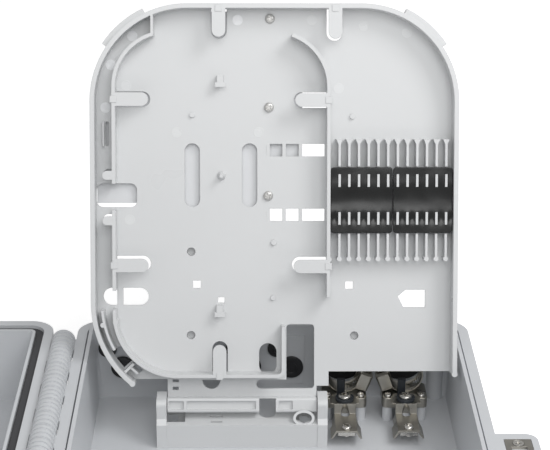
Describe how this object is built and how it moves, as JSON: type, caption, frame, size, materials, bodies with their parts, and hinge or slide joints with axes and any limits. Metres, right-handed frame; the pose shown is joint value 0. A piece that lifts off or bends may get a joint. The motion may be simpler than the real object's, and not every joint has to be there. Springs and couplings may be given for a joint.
{
  "type": "fiber termination box",
  "caption": "Wall-mount fiber termination box with hinged lid open, flip-up splice tray with sleeve ribs and rear adapters, cable ports with clamps, and a quarter-turn lock.",
  "frame": {"origin": "centre of the base's back face, which goes against the wall", "axes": "+X to the right, away from the lid hinge; +Y towards the cable-entry wall; +Z out of the back, towards where the lid closes"},
  "size_m": [0.4752, 0.3093, 0.2222],
  "materials": {
    "housing": "moulded light grey ABS, fine matt grain",
    "tray": "moulded light grey ABS, smooth satin",
    "panel": "moulded light grey ABS, smooth satin",
    "adapter": "moulded green plastic, smooth",
    "cap": "soft white plastic, smooth",
    "black_rubber": "moulded black rubber, half gloss",
    "seal_rubber": "dark grey rubber, matt",
    "black_plastic": "black nylon, matt",
    "plated_steel": "bright zinc-plated sheet steel",
    "screw_steel": "nickel-plated steel",
    "chrome": "chromed zinc casting"
  },
  "bodies": {
    "base": {"base_housing": "housing", "hinge_bracket": "tray", "bracket_screws": "screw_steel", "drop_grommets": "black_rubber", "main_grommets": "black_rubber", "clamp_plate_left": "plated_steel", "clamp_plate_right": "plated_steel", "channel_left": "plated_steel", "channel_right": "plated_steel", "hose_band_left": "plated_steel", "hose_band_right": "plated_steel", "worm_housing_left": "plated_steel", "worm_housing_right": "plated_steel", "plate_screws": "screw_steel", "clamp_washers": "black_plastic", "clamp_screws": "screw_steel", "clamp_blocks": "black_plastic", "channel_screws": "screw_steel", "channel_nuts": "screw_steel", "lid_hinge_pin": "plated_steel", "lock_keeper": "plated_steel", "keeper_screws": "screw_steel"},
    "tray": {"splice_tray": "tray", "sleeve_retainer_left": "black_rubber", "sleeve_retainer_right": "black_rubber", "adapter_panel": "panel", "tray_screws": "screw_steel", "sc_adapters": "adapter", "adapter_caps": "cap"},
    "lid": {"lid": "housing", "lid_seal": "seal_rubber", "lock_nut": "screw_steel"},
    "lock": {"lock_cylinder": "chrome", "lock_cam": "screw_steel", "cam_screw": "screw_steel"},
    "worm_left": {"worm_screw_left": "screw_steel"},
    "worm_right": {"worm_screw_right": "screw_steel"}
  },
  "joints": [
    {"name": "tray_hinge", "type": "hinge", "parent": "base", "child": "tray", "pos_m": [-0.01675, 0.0865, 0.0235], "axis": [1, 0, 0], "range_deg": [0, 110]},
    {"name": "lid_hinge", "type": "hinge", "parent": "base", "child": "lid", "pos_m": [-0.1121, 0, 0.045], "axis": [0, 1, 0], "range_deg": [0, 180]},
    {"name": "lock_turn", "type": "hinge", "parent": "lid", "child": "lock", "pos_m": [-0.3397, 0, 0.033], "axis": [0, 0, 1], "range_deg": [0, 90]},
    {"name": "worm_turn_left", "type": "hinge", "parent": "base", "child": "worm_left", "pos_m": [0.04922, 0.1143, 0.02284], "axis": [0.342, 0, 0.9397], "continuous": true},
    {"name": "worm_turn_right", "type": "hinge", "parent": "base", "child": "worm_right", "pos_m": [0.05893, 0.1143, 0.02284], "axis": [-0.342, 0, 0.9397], "continuous": true}
  ],
  "couplings": [
    {"joint": "lid_hinge", "follows": "tray_hinge", "ratio": 1.6364}
  ]
}
